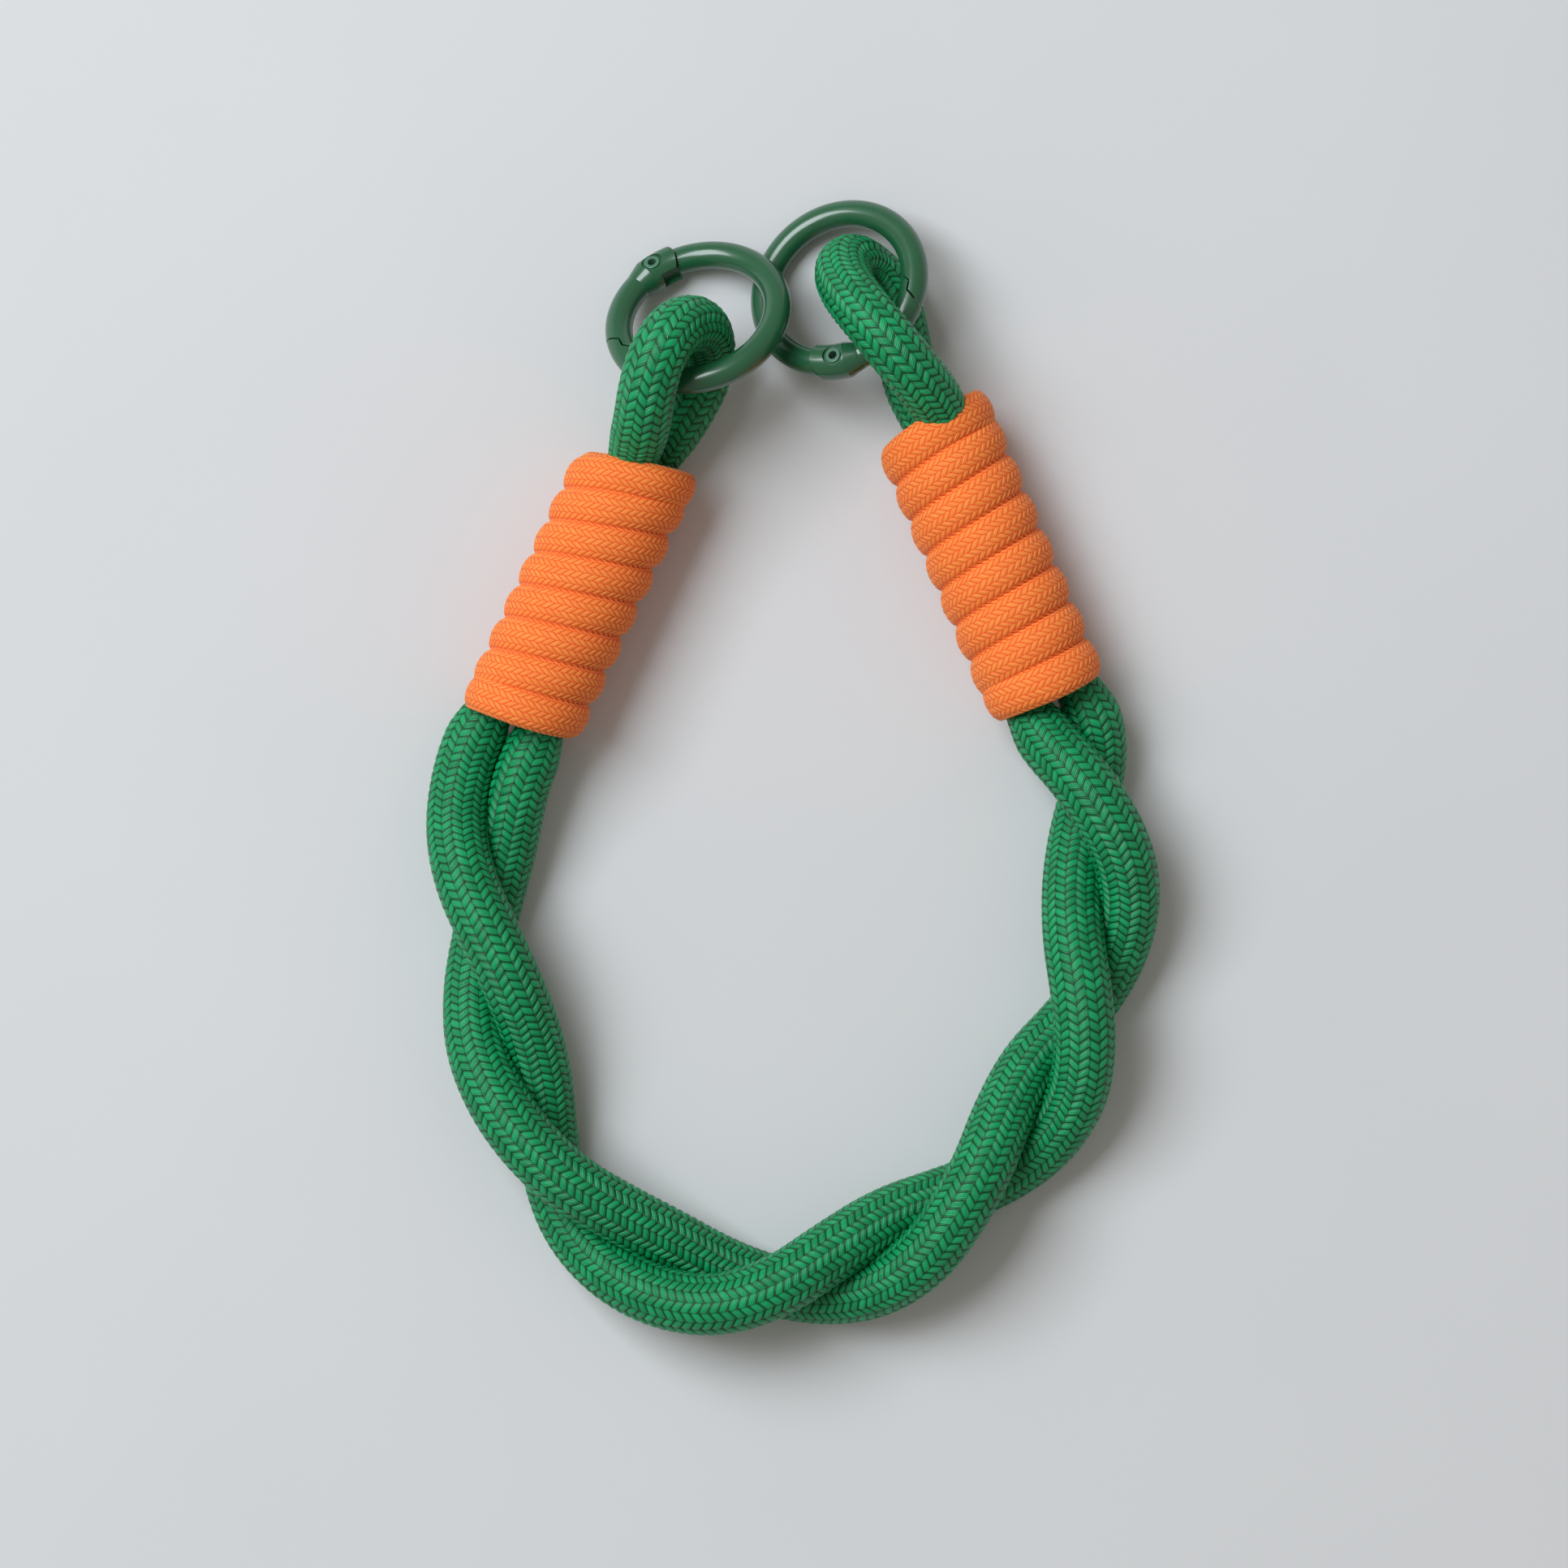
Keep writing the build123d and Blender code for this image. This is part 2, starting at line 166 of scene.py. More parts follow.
@dataclass(frozen=True)
class BraidedYarn:
    """Filament yarn in a two-over-two braid: each float shows as a small rounded bar with fine lines, with
    painted light on its crown and painted shade in the gaps between floats.

    The piece's UV map counts columns across and floats along, so the pattern follows the cord.
    """

    name: str
    # The lighter colour is painted light on the crowns of the floats; the darker one is painted shade in the
    # gaps between them.
    lit: str
    painted_shade: str
    roughness: float
    sheen: float
    filaments: float  # lines that show across one float
    filament_depth: float  # mm
    unevenness: float  # how much one float's colour differs from the next
    slope: float  # spacings that a float climbs across its column

    def material(self) -> bpy.types.Material:
        """Builds the yarn's material.

        Returns:
            The material, which reads the UV map named "braid".
        """
        material = new_material(self.name)
        tree = material.node_tree
        place = add_node(tree, "UVMap", uv_map="braid").outputs["UV"]
        split = add_node(tree, "SeparateXYZ", {0: place})
        across, along = split.outputs[0], split.outputs[1]
        column = add_node(tree, "Math", {0: across}, operation="FLOOR").outputs[0]
        fraction = add_node(tree, "Math", {0: across}, operation="FRACT").outputs[0]
        odd = add_node(tree, "Math", {0: column, 1: 2.0}, operation="MODULO").outputs[0]
        slant = add_node(tree, "Math", {0: odd, 1: 2 * self.slope, 2: -self.slope}, operation="MULTIPLY_ADD")
        slant = slant.outputs[0]
        slanted = add_node(tree, "Math", {0: slant, 1: fraction, 2: along}, operation="MULTIPLY_ADD")
        slanted = slanted.outputs[0]
        phase = add_node(tree, "Math", {0: odd, 1: STAGGER, 2: slanted}, operation="MULTIPLY_ADD").outputs[0]
        cell = add_node(tree, "Math", {0: phase}, operation="FLOOR").outputs[0]
        width = add_node(tree, "Math", {0: phase}, operation="FRACT").outputs[0]
        key = add_node(tree, "CombineXYZ", {0: column, 1: cell}).outputs[0]
        chance = add_node(tree, "TexWhiteNoise", {0: key}, noise_dimensions="2D").outputs[0]
        bar = add_node(tree, "Math", {0: width, 1: math.pi}, operation="MULTIPLY").outputs[0]
        bar = add_node(tree, "Math", {0: bar}, operation="SINE").outputs[0]
        reach = add_node(tree, "Math", {0: fraction, 1: math.pi}, operation="MULTIPLY").outputs[0]
        reach = add_node(tree, "Math", {0: reach}, operation="SINE").outputs[0]
        reach = add_node(tree, "Math", {0: reach, 1: 0.45}, operation="POWER").outputs[0]
        # Painted light and shade: the crowns of the floats get the lit colour and the gaps the painted shade
        # colour, varied at random from float to float.
        crown = add_node(tree, "Math", {0: bar, 1: reach}, operation="MULTIPLY").outputs[0]
        lift = add_node(
            tree, "MapRange", {"Value": crown, "From Max": 0.55, "To Min": 0.0, "To Max": 1.0}
        ).outputs[0]
        vary = add_node(
            tree, "MapRange", {"Value": chance, "To Min": 1.0 - self.unevenness, "To Max": 1.0}
        ).outputs[0]
        painted_light_and_unevenness = add_node(tree, "Math", {0: lift, 1: vary}, operation="MULTIPLY").outputs[0]
        colour = add_node(
            tree,
            "Mix",
            {"Factor": painted_light_and_unevenness, "A": linear(self.painted_shade), "B": linear(self.lit)},
            data_type="RGBA",
        )
        lines = add_node(
            tree, "Math", {0: width, 1: self.filaments * 2 * math.pi}, operation="MULTIPLY"
        ).outputs[0]
        lines = add_node(tree, "Math", {0: lines}, operation="SINE").outputs[0]
        fuzz = add_node(tree, "TexNoise", {"Vector": place, "Scale": 9.0, "Detail": 3.0}).outputs["Fac"]
        depth = add_node(tree, "Math", {0: fuzz, 1: 1.6, 2: lines}, operation="MULTIPLY_ADD").outputs[0]
        bump = add_node(
            tree, "Bump", {"Height": depth, "Distance": self.filament_depth * MM, "Strength": 0.6}
        )
        shader = add_node(
            tree,
            "BsdfPrincipled",
            {
                "Base Color": colour.outputs["Result"],
                "Roughness": self.roughness,
                "Specular IOR Level": 0.35,
                "Sheen Weight": self.sheen,
                "Sheen Roughness": 0.35,
                "Normal": bump.outputs[0],
            },
        )
        add_node(tree, "OutputMaterial", {"Surface": shader.outputs[0]})
        return material


@dataclass(frozen=True)
class Enamel:
    """Baked gloss enamel on cast metal: a deep even colour, a slight orange peel and a clear highlight."""

    name: str
    colour: str
    thin: str  # where the coat runs thinner
    roughness: float
    peel: float  # mm, depth of the orange peel

    def material(self) -> bpy.types.Material:
        """Builds the enamel's material.

        Returns:
            The material, which reads Object coordinates in metres.
        """
        material = new_material(self.name)
        tree = material.node_tree
        place = add_node(tree, "TexCoord").outputs["Object"]
        clouds = add_node(tree, "TexNoise", {"Vector": place, "Scale": 180.0, "Detail": 2.0}).outputs["Fac"]
        colour = add_node(
            tree,
            "Mix",
            {"Factor": clouds, "A": linear(self.colour), "B": linear(self.thin)},
            data_type="RGBA",
        )
        ripple = add_node(tree, "TexNoise", {"Vector": place, "Scale": 700.0, "Detail": 1.0}).outputs["Fac"]
        bump = add_node(tree, "Bump", {"Height": ripple, "Distance": self.peel * MM, "Strength": 0.35})
        shader = add_node(
            tree,
            "BsdfPrincipled",
            {
                "Base Color": colour.outputs["Result"],
                "Roughness": self.roughness,
                "Coat Weight": 0.5,
                "Coat Roughness": 0.12,
                "Normal": bump.outputs[0],
            },
        )
        add_node(tree, "OutputMaterial", {"Surface": shader.outputs[0]})
        return material


@dataclass(frozen=True)
class SpringSteel:
    """Drawn spring wire: bright grey metal with fine lines along the draw."""

    name: str = "drawn_spring_steel"
    colour: str = "#B9BBBD"

    def material(self) -> bpy.types.Material:
        """Builds the wire's material.

        Returns:
            The material.
        """
        material = new_material(self.name)
        tree = material.node_tree
        place = add_node(tree, "TexCoord").outputs["Object"]
        grain = add_node(tree, "TexNoise", {"Vector": place, "Scale": 2500.0}).outputs["Fac"]
        rough = add_node(tree, "MapRange", {"Value": grain, "To Min": 0.22, "To Max": 0.42}).outputs[0]
        shader = add_node(
            tree,
            "BsdfPrincipled",
            {"Base Color": linear(self.colour), "Metallic": 1.0, "Roughness": rough},
        )
        add_node(tree, "OutputMaterial", {"Surface": shader.outputs[0]})
        return material


@dataclass(frozen=True)
class PaintedBoard:
    """Matt painted board under the strap: pale grey with a barely visible mottle."""

    name: str = "matt_painted_board"
    light: str = "#D3D6D7"
    shade: str = "#CDD0D2"

    def material(self) -> bpy.types.Material:
        """Builds the board's material.

        Returns:
            The material.
        """
        material = new_material(self.name)
        tree = material.node_tree
        place = add_node(tree, "TexCoord").outputs["Object"]
        mottle = add_node(tree, "TexNoise", {"Vector": place, "Scale": 14.0, "Detail": 4.0}).outputs["Fac"]
        colour = add_node(
            tree,
            "Mix",
            {"Factor": mottle, "A": linear(self.light), "B": linear(self.shade)},
            data_type="RGBA",
        )
        shader = add_node(
            tree, "BsdfPrincipled", {"Base Color": colour.outputs["Result"], "Roughness": 0.62}
        )
        add_node(tree, "OutputMaterial", {"Surface": shader.outputs[0]})
        return material


@dataclass(frozen=True)
class Route:
    """A cord's route: the control points of one smooth spline, in millimetres of the lay-out."""

    name: str
    points: tuple[tuple[float, float, float], ...]

    def line(self, step: float) -> np.ndarray:
        """Reads evenly spaced points from the route's spline.

        Args:
            step: the spacing wanted, in metres.

        Returns:
            One row of x, y and z for each point, in metres.
        """
        curve = bpy.data.curves.new(self.name, "CURVE")
        curve.dimensions = "3D"
        curve.resolution_u = 24
        spline = curve.splines.new("NURBS")
        spline.points.add(len(self.points) - 1)
        for point, place in zip(spline.points, self.points):
            point.co = (*((Vector(place) + LAYOUT_SHIFT) * MM), 1.0)
        spline.order_u = 3
        spline.use_endpoint_u = True
        spline.resolution_u = 24
        holder = bpy.data.objects.new(self.name, curve)
        bpy.context.scene.collection.objects.link(holder)
        mesh = bpy.data.meshes.new_from_object(holder)
        dense = np.empty(len(mesh.vertices) * 3)
        mesh.vertices.foreach_get("co", dense)
        dense = dense.reshape(-1, 3)
        bpy.data.objects.remove(holder)
        bpy.data.curves.remove(curve)
        bpy.data.meshes.remove(mesh)
        run = np.r_[0, np.cumsum(np.linalg.norm(np.diff(dense, axis=0), axis=1))]
        wanted = np.linspace(0, run[-1], max(2, round(run[-1] / step) + 1))
        return np.stack([np.interp(wanted, run, dense[:, axis]) for axis in range(3)], axis=1)


def length_of(line: np.ndarray) -> float:
    """Gives the length of a line of points, in the points' unit."""
    return float(np.linalg.norm(np.diff(line, axis=0), axis=1).sum())


def tangents_of(line: np.ndarray) -> np.ndarray:
    """Gives the unit direction of a line at each of its points."""
    slopes = np.gradient(line, axis=0)
    return slopes / np.linalg.norm(slopes, axis=1, keepdims=True)


@dataclass(frozen=True)
class Braid:
    """A two-over-two tubular braid, drawn as relief on the surface of a cord."""

    columns: int  # rows of floats round the cord, an even number
    across: int  # points across one column
    along: int  # points along one float's spacing
    spacing: float  # mm from one float to the next along a column
    relief: float  # mm from the gaps up to the crowns of the floats

    def around(self) -> int:
        """Gives the number of points round the cord."""
        return self.columns * self.across

    def step(self) -> float:
        """Gives the distance between rings of points along the cord, in metres."""
        return self.spacing * MM / self.along

    def slope(self) -> float:
        """Gives how many spacings a float climbs across its column."""
        return self.across / self.along

    def lean(self, column: np.ndarray) -> np.ndarray:
        """Gives which way the floats of each column lean, minus one or one."""
        return np.where(column % 2 == 0, Lay.FALLING.value, Lay.RISING.value)

    def heights(self, rings: int) -> np.ndarray:
        """Works out the relief over the cord's surface.

        Args:
            rings: the number of rings of points along the cord.

        Returns:
            The height over the gaps in metres, by ring and by place round the cord.
        """
        column, place = np.divmod(np.arange(self.around()), self.across)
        fraction = place / self.across
        row = np.arange(rings)[:, None] / self.along
        phase = (row + self.lean(column) * fraction * self.slope() + STAGGER * (column % 2)) % 1
        bar = np.sqrt(np.clip(1 - (2 * phase - 1) ** 2, 0, 1))
        crown = 0.5 + 0.5 * np.sqrt(np.sin(math.pi * fraction))
        return self.relief * MM * bar * crown


@dataclass(frozen=True)
class Section:
    """A cord's cross-section: an ellipse, in millimetres."""

    half_width: float
    half_thickness: float

    def outline(self, count: int) -> tuple[np.ndarray, np.ndarray]:
        """Spreads points evenly round the section.

        Args:
            count: how many points.

        Returns:
            The points and the outward directions there, two columns each, in metres.
        """
        turn = np.linspace(0, 2 * math.pi, 1441)
        wide = np.cos(turn) * self.half_width
        thick = np.sin(turn) * self.half_thickness
        run = np.r_[0, np.cumsum(np.hypot(np.diff(wide), np.diff(thick)))]
        wanted = np.linspace(0, run[-1], count, endpoint=False)
        points = np.stack([np.interp(wanted, run, wide), np.interp(wanted, run, thick)], axis=1)
        slope = np.roll(points, -1, axis=0) - np.roll(points, 1, axis=0)
        outward = np.stack([slope[:, 1], -slope[:, 0]], axis=1)
        return points * MM, outward / np.linalg.norm(outward, axis=1, keepdims=True)


def braided_mesh(name: str, rings: np.ndarray, braid: Braid) -> bpy.types.Object:
    """Joins rings of points into one closed cord with the braid's UV map.

    Args:
        name: the new object's name.
        rings: points by ring, place round the cord and axis, in metres.
        braid: the braid that the rings carry.

    Returns:
        The cord as a mesh object at the origin.
    """
    count, around = rings.shape[0], rings.shape[1]
    vertices = np.concatenate([rings.reshape(-1, 3), rings[[0, -1]].mean(axis=1)])
    ring, place = np.meshgrid(np.arange(count - 1), np.arange(around), indexing="ij")
    ring, place = ring.ravel(), place.ravel()
    following = (place + 1) % around
    near, near_next = ring * around + place, ring * around + following
    far, far_next = near + around, near_next + around
    falling = (braid.lean(place // braid.across) == Lay.FALLING.value)[:, None]
    first = np.where(falling, np.stack([near, near_next, far_next], 1), np.stack([near, near_next, far], 1))
    second = np.where(falling, np.stack([near, far_next, far], 1), np.stack([near_next, far_next, far], 1))
    low, high = place / braid.across, (place + 1) / braid.across
    start, end = ring / braid.along, (ring + 1) / braid.along
    corner = {
        "near": np.stack([low, start], 1),
        "near_next": np.stack([high, start], 1),
        "far": np.stack([low, end], 1),
        "far_next": np.stack([high, end], 1),
    }
    pick = falling[:, :, None]
    first_uv = np.where(
        pick,
        np.stack([corner["near"], corner["near_next"], corner["far_next"]], 1),
        np.stack([corner["near"], corner["near_next"], corner["far"]], 1),
    )
    second_uv = np.where(
        pick,
        np.stack([corner["near"], corner["far_next"], corner["far"]], 1),
        np.stack([corner["near_next"], corner["far_next"], corner["far"]], 1),
    )
    edge = np.arange(around)
    last = (count - 1) * around
    tip, end_tip = count * around, count * around + 1
    first_cap = np.stack([np.full(around, tip), (edge + 1) % around, edge], 1)
    last_cap = np.stack([np.full(around, end_tip), last + edge, last + (edge + 1) % around], 1)
    faces = np.concatenate([first, second, first_cap, last_cap])
    cap_uv = np.full((2 * around, 3, 2), 0.5)
    texture = np.concatenate([first_uv, second_uv, cap_uv])
    mesh = bpy.data.meshes.new(name)
    mesh.vertices.add(len(vertices))
    mesh.vertices.foreach_set("co", vertices.ravel())
    mesh.loops.add(faces.size)
    mesh.loops.foreach_set("vertex_index", faces.ravel().astype(np.int32))
    mesh.polygons.add(len(faces))
    mesh.polygons.foreach_set("loop_start", np.arange(0, faces.size, 3, dtype=np.int32))
    mesh.update(calc_edges=True)
    mesh.validate()
    layer = mesh.uv_layers.new(name="braid")
    layer.data.foreach_set("uv", texture.ravel())
    mesh.polygons.foreach_set("use_smooth", np.ones(len(faces), dtype=bool))
    mesh.update()
    piece = bpy.data.objects.new(name, mesh)
    bpy.context.scene.collection.objects.link(piece)
    return piece


@dataclass
class Rope:
    """One free stretch of the braided rope."""

    name: str
    route: Route
    diameter: float  # mm over the crowns of the braid
    braid: Braid
    nodes: tuple[str, ...]
    pinch: float = 0.66  # share of the diameter that is left where a whipping grips the rope
    pinch_reach: float = 9.0  # mm from an end to where the rope is full again

    def frames(self, line: np.ndarray) -> tuple[np.ndarray, np.ndarray]:
        """Carries a cross direction along the rope without twisting it.

        Args:
            line: the rope's centreline.

        Returns:
            Two unit directions across the rope at each point, a quarter turn apart.
        """
        along = tangents_of(line)
        side = np.cross(along[0], (0.0, 0.0, 1.0))
        first = np.empty_like(line)
        for place, direction in enumerate(along):
            side = side - direction * side.dot(direction)
            side = side / np.linalg.norm(side)
            first[place] = side
        return first, np.cross(along, first)

    def rings(self, line: np.ndarray) -> np.ndarray:
        """Places the braided surface's points round the centreline.

        Args:
            line: the rope's centreline.

        Returns:
            Points by ring, place round the rope and axis.
        """
        radius = self.diameter / 2 - self.braid.relief
        points, outward = Section(radius, radius).outline(self.braid.around())
        first, second = self.frames(line)
        lift = self.braid.heights(len(line))
        across = points[None, :, 0] + outward[None, :, 0] * lift
        over = points[None, :, 1] + outward[None, :, 1] * lift
        run = np.linspace(0, length_of(line) / MM, len(line))
        share = np.clip(np.minimum(run, run[-1] - run) / self.pinch_reach, 0, 1)
        full = self.pinch + (1 - self.pinch) * share**2 * (3 - 2 * share)
        wide = (across * full[:, None])[:, :, None] * first[:, None]
        high = (over * full[:, None])[:, :, None] * second[:, None]
        return line[:, None] + wide + high

    def pressed(self, rings: np.ndarray, line: np.ndarray, other: np.ndarray) -> np.ndarray:
        """Flattens the rope where another one lies against it.

        Args:
            rings: the rope's points.
            line: the rope's centreline.
            other: the other rope's centreline.

        Returns:
            The points, none of them past the middle between both centrelines.
        """
        gaps = np.linalg.norm(line[:, None] - other[None], axis=2)
        nearest = gaps.argmin(axis=1)
        distance = gaps.min(axis=1)
        towards = (other[nearest] - line) / distance[:, None]
        reach = np.einsum("rpk,rk->rp", rings - line[:, None], towards)
        excess = np.clip(reach - distance[:, None] / 2, 0, None)
        return rings - excess[:, :, None] * towards[:, None]

    def build(self, finish: bpy.types.Material, neighbour: Route | None = None) -> bpy.types.Object:
        """Args:
            finish: the braid's material.
            neighbour: the route of a rope that presses against this one.

        Returns:
            The finished piece.
        """
        line = self.route.line(self.braid.step())
        rings = self.rings(line)
        if neighbour is not None:
            rings = self.pressed(rings, line, neighbour.line(MM))
        piece = braided_mesh(self.name, rings, self.braid)
        dress(piece, finish)
        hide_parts(*self.nodes)
        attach(piece, "strap")
        log.info("%s: %.0f mm of rope", self.name, length_of(line) / MM)
        return piece


@dataclass
class Whipping:
    """A flattened cord wound round both runs of rope, its ends tucked under its own turns."""

    name: str
    foot: tuple[float, float]  # mm in the lay-out
    head: tuple[float, float]
    turns: int
    foot_lean: float  # degrees that the turns lean, besides their own pitch, at the foot
    head_lean: float
    tuck: float  # mm along the whipping that the tucked end moves back
    tuck_turn: float  # turns past the last pass over the top at which the cord ends
    braid: Braid
    nodes: tuple[str, ...]
    axis_height: float = 10.1
    bundle_radius: float = 6.35
    thickness: float = 3.7
    overlap: float = 1.06  # the cord's width over the turns' pitch, as its edges press together

    def length(self) -> float:
        """Gives the whipping's length in millimetres."""
        return math.dist(self.foot, self.head)

    def pitch(self) -> float:
        """Gives the distance between turns in millimetres."""
        return self.length() / self.turns

    def directions(self) -> tuple[Vector, Vector, Vector]:
        """Gives the unit directions along the whipping, to its right and up."""
        along = Vector((self.head[0] - self.foot[0], self.head[1] - self.foot[1], 0.0)).normalized()
        up = Vector((0.0, 0.0, 1.0))
        return along, along.cross(up), up

    def route(self) -> Route:
        """Winds the cord's centreline.

        Returns:
            The route of the cord from its start at the foot to its tucked end.
        """
        along, right, up = self.directions()
        origin = Vector((*self.foot, self.axis_height))
        half_cord = self.pitch() * self.overlap / 2
        radius = (self.bundle_radius + self.thickness / 2) / math.cos(math.pi / TURN_POINTS)
        first = -TURN_POINTS // 2
        last = round((self.turns - 1 + self.tuck_turn) * TURN_POINTS)
        points = []
        for count in range(first, last + 1):
            turn = count / TURN_POINTS
            angle = 2 * math.pi * turn
            height = self.pitch() * (turn + 0.5)
            share = min(max(height / self.length(), 0.0), 1.0)
            lean = math.radians(self.foot_lean + (self.head_lean - self.foot_lean) * share)
            height = min(max(height, half_cord), self.length() - half_cord)
            past = max(0.0, turn - (self.turns - 1) - 0.5) / (self.tuck_turn - 0.5)
            before = max(0.0, -turn - START_TURN) / START_REACH
            sunk = radius - END_DEPTH * past**END_CURVE - START_DEPTH * before
            height += math.tan(lean) * radius * math.sin(angle) - self.tuck * past
            place = origin + along * height + (up * math.cos(angle) + right * math.sin(angle)) * sunk
            points.append(tuple(place))
        return Route(self.name, tuple(points))

    def build(self, finish: bpy.types.Material) -> bpy.types.Object:
        """Makes the wound cord.

        Args:
            finish: the cord's material.

        Returns:
            The finished piece.
        """
        along, _, _ = self.directions()
        line = self.route().line(self.braid.step())
        axis_point = (Vector((*self.foot, self.axis_height)) + LAYOUT_SHIFT) * MM
        offset = line - np.array(axis_point)
        axis = np.array(along)
        outward = offset - (offset @ axis)[:, None] * axis
        slope = tangents_of(line)
        outward = outward - (outward * slope).sum(axis=1, keepdims=True) * slope
        outward = outward / np.linalg.norm(outward, axis=1, keepdims=True)
        across = np.cross(outward, slope)
        half_width = self.pitch() * self.overlap / 2 - self.braid.relief
        section = Section(half_width, self.thickness / 2 - self.braid.relief)
        points, away = section.outline(self.braid.around())
        lift = self.braid.heights(len(line))
        wide = points[None, :, 0] + away[None, :, 0] * lift
        high = points[None, :, 1] + away[None, :, 1] * lift
        rings = line[:, None] + wide[:, :, None] * across[:, None] + high[:, :, None] * outward[:, None]
        piece = braided_mesh(self.name, rings, self.braid)
        dress(piece, finish)
        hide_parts(*self.nodes)
        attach(piece, "strap")
        log.info("%s: %.0f mm of cord", self.name, length_of(line) / MM)
        return piece


@dataclass
class SpringGateRing:
    """One ring with its gate, rivet and spring, all carried over from the frame."""

    side: str

    def dress(self, body: bpy.types.Material, rivet: bpy.types.Material, spring: bpy.types.Material) -> None:
        """Gives the ring's four pieces their finishes.

        Args:
            body: the enamel of the ring and its gate.
            rivet: the enamel of the rivet.
            spring: the finish of the spring.
        """
        for node in (f"{self.side}_ring_body", f"{self.side}_ring_gate"):
            dress(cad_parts[node], body)
        dress(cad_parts[f"{self.side}_gate_rivet"], rivet)
        dress(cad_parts[f"{self.side}_gate_spring"], spring)
        log.info("%s ring dressed", self.side)


@dataclass
class Studio:
    """The board under the strap, the lights and the camera."""

    aim: tuple[float, float] = (-1.43, -3.04)  # mm
    camera_height: float = 1.009
    lens: float = 143.5
    board_size: float = 5.0

    def board(self, finish: bpy.types.Material) -> None:
        """Lays the board that the strap rests on.

        Args:
            finish: the board's material.
        """
        bpy.ops.object.select_all(action="DESELECT")
        bpy.ops.mesh.primitive_plane_add(size=self.board_size)
        board = bpy.context.object
        board.name = "board"
        dress(board, finish)

    def light(
        self, name: str, place: tuple[float, float, float], size: float, power: float, hue: str
    ) -> None:
        """Adds one soft square light that faces the strap.

        Args:
            name: the light's name.
            place: where it stands, in metres.
            size: the length of its side, in metres.
            power: its power, in watts.
            hue: its colour.
        """
        lamp = bpy.data.lights.new(name, "AREA")
        lamp.size = size
        lamp.energy = power
        lamp.color = linear(hue)[:3]
        holder = bpy.data.objects.new(name, lamp)
        holder.location = place
        holder.rotation_euler = (-Vector(place)).to_track_quat("-Z", "Y").to_euler()
        bpy.context.scene.collection.objects.link(holder)

    def surroundings(self, hue: str, strength: float) -> None:
        """Sets the even light that comes from all round.

        Args:
            hue: its colour.
            strength: its strength.
        """
        world = bpy.data.worlds.new("studio")
        world.use_nodes = True
        world.node_tree.nodes.clear()
        sky = add_node(world.node_tree, "Background", {"Color": linear(hue), "Strength": strength})
        add_node(world.node_tree, "OutputWorld", {"Surface": sky.outputs[0]})
        bpy.context.scene.world = world

    def camera(self) -> None:
        """Hangs the camera straight above the strap."""
        camera = bpy.data.cameras.new("camera")
        camera.lens = self.lens
        camera.sensor_width = 36.0
        holder = bpy.data.objects.new("camera", camera)
        holder.location = (self.aim[0] * MM, self.aim[1] * MM, self.camera_height)
        bpy.context.scene.collection.objects.link(holder)
        bpy.context.scene.camera = holder

    def set_up(self) -> None:
        """Places the camera and the lights."""
        self.camera()
        self.surroundings("#F6ECE4", 0.38)
        self.light("window", (-0.9, 0.66, 1.5), 1.1, 34.0, "#F4F9FF")
        bpy.context.scene.view_settings.view_transform = "Standard"


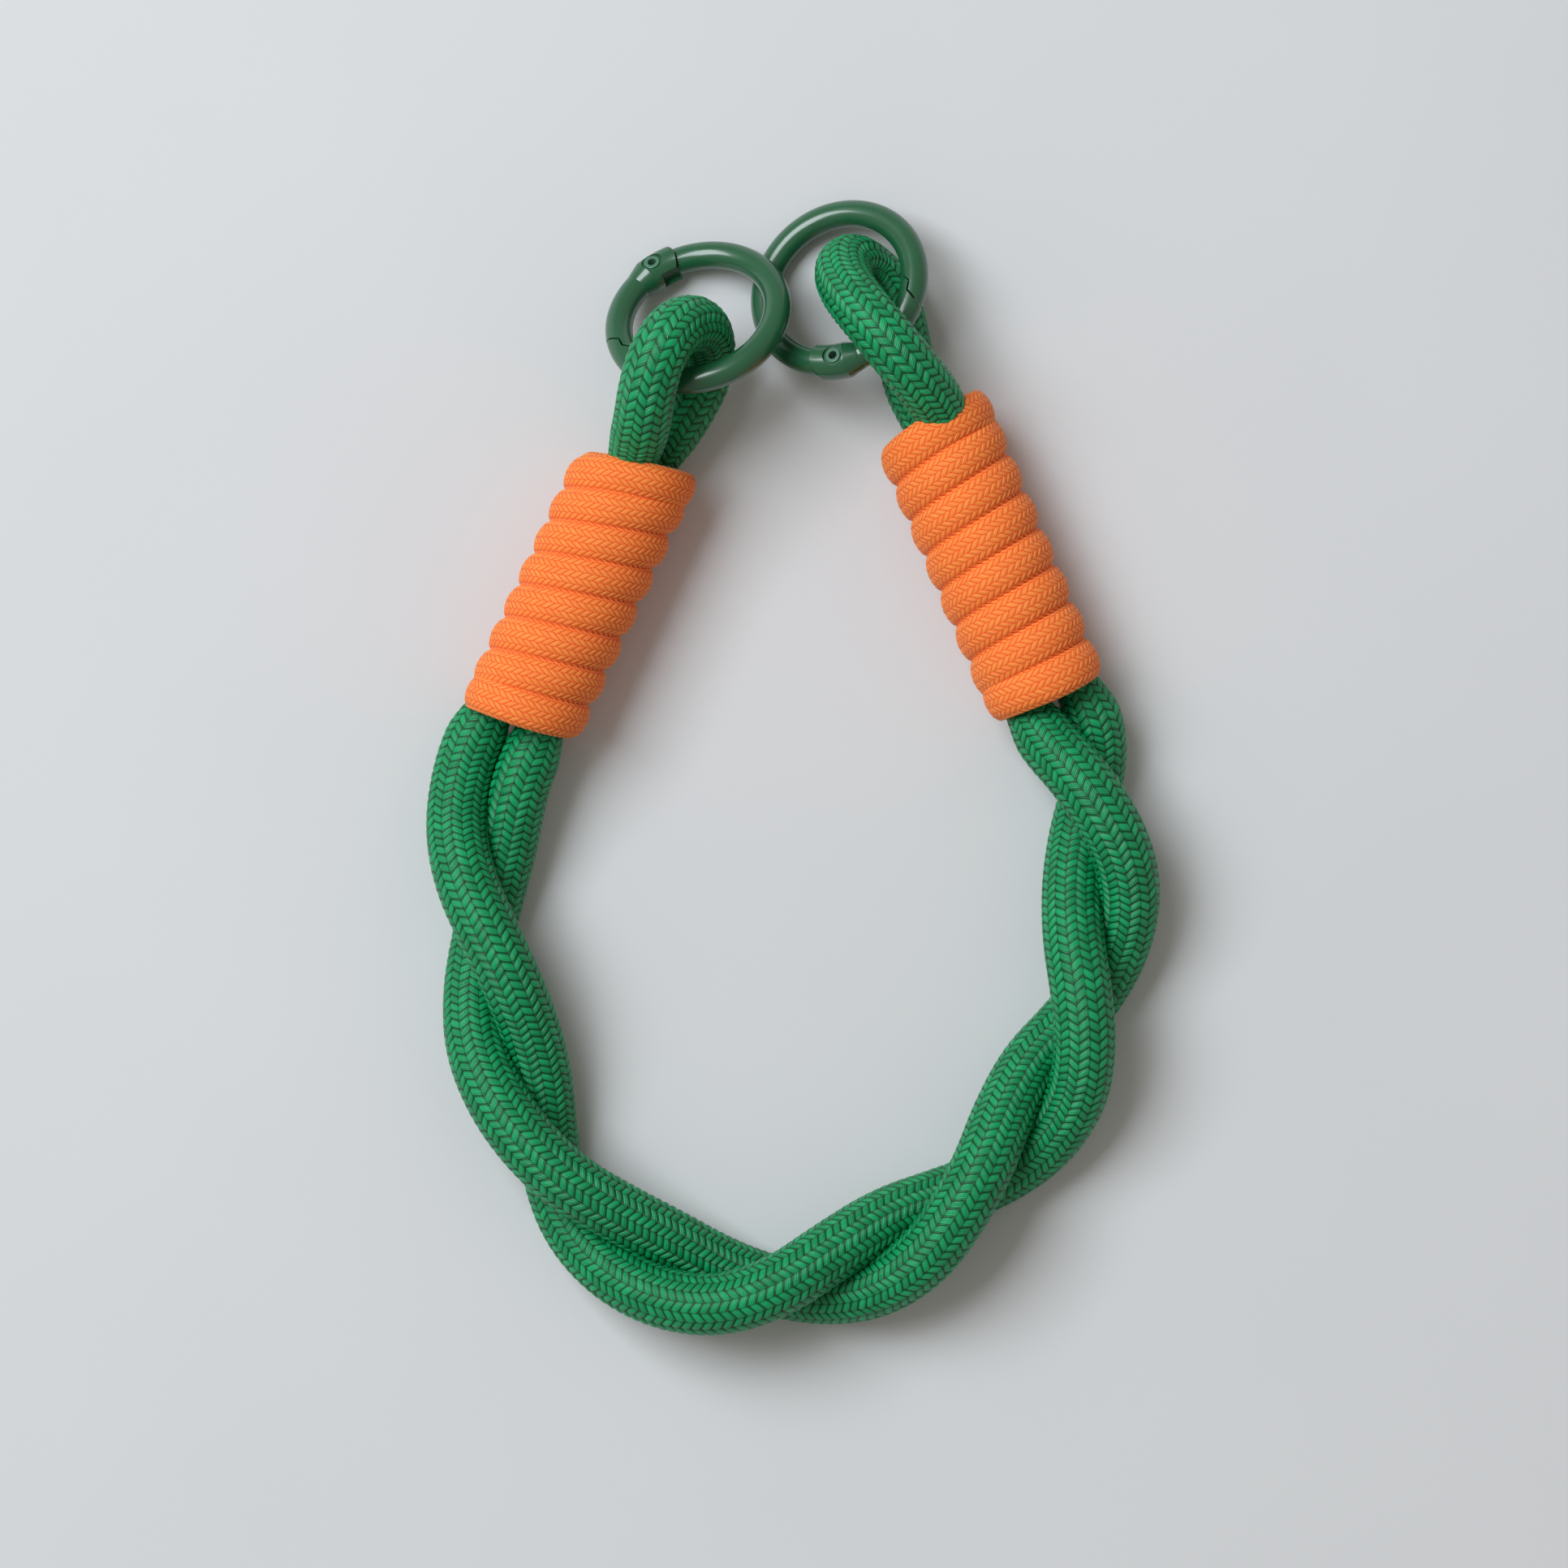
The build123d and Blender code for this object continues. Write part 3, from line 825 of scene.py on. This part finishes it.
def main() -> None:
    """Builds the strap's visual pieces in order and reports each."""
    studio = Studio()
    studio.set_up()

    rope_braid = Braid(columns=18, across=4, along=6, spacing=1.36, relief=0.34)
    cord_braid = Braid(columns=14, across=4, along=4, spacing=1.06, relief=0.17)
    rope_finish = BraidedYarn(
        name="braided_polyester_green",
        # lit is painted light on the crowns of the floats, the darker colour painted shade in the gaps
        # between them.
        lit="#0FA262",
        painted_shade="#012C11",
        roughness=0.36,
        sheen=0.0,
        filaments=5.0,
        filament_depth=0.05,
        unevenness=0.35,
        slope=rope_braid.slope(),
    )
    cord_finish = BraidedYarn(
        name="braided_cotton_orange",
        # lit is painted light on the crowns of the floats, the darker colour painted shade in the gaps
        # between them.
        lit="#FF9444",
        painted_shade="#EA4C0E",
        roughness=0.75,
        sheen=0.1,
        filaments=3.0,
        filament_depth=0.04,
        unevenness=0.2,
        slope=cord_braid.slope(),
    )
    route_a = Route("strand_a_route", STRAND_A)
    route_b = Route("strand_b_route", STRAND_B)
    left_route = Route("left_eye_route", LEFT_EYE)
    right_route = Route("right_eye_route", RIGHT_EYE)
    stretches = ("strand_a", "strand_b", "left_eye", "right_eye")
    nodes = {stretch: (f"{stretch}_cover", f"{stretch}_core") for stretch in stretches}
    ropes = (
        (Rope("strand_a_rope", route_a, 10.0, rope_braid, nodes["strand_a"]), route_b),
        (Rope("strand_b_rope", route_b, 10.0, rope_braid, nodes["strand_b"]), route_a),
        (Rope("left_eye_rope", left_route, 9.3, rope_braid, nodes["left_eye"], EYE_PINCH), None),
        (Rope("right_eye_rope", right_route, 9.2, rope_braid, nodes["right_eye"], EYE_PINCH), None),
    )
    yarn = rope_finish.material()
    for rope, neighbour in ropes:
        rope.build(yarn, neighbour)

    cord = cord_finish.material()
    hidden = {side: (f"{side}_squeezed_run_a", f"{side}_squeezed_run_b") for side in SIDES}
    Whipping(
        name="left_whipping_cord",
        foot=(-44.6, 6.0),
        head=(-25.0, 48.2),
        turns=8,
        foot_lean=4.0,
        head_lean=13.0,
        tuck=-0.5,
        tuck_turn=0.95,
        braid=cord_braid,
        nodes=("left_whipping", *hidden["left"]),
    ).build(cord)
    Whipping(
        name="right_whipping_cord",
        foot=(40.7, 9.8),
        head=(21.2, 55.7),
        turns=8,
        foot_lean=-2.5,
        head_lean=6.0,
        tuck=4.0,
        tuck_turn=0.95,
        braid=cord_braid,
        nodes=("right_whipping", *hidden["right"]),
    ).build(cord)

    gloss = Enamel("gloss_enamel_green", "#1C5335", "#225D3C", 0.28, 0.01).material()
    rivet_gloss = Enamel("gloss_enamel_rivet", "#45725B", "#4E7C65", 0.26, 0.006).material()
    steel = SpringSteel().material()
    for side in SIDES:
        SpringGateRing(side).dress(gloss, rivet_gloss, steel)

    studio.board(PaintedBoard().material())


if __name__ == "__main__":
    logging.basicConfig(level=logging.INFO, format="%(message)s")
    main()
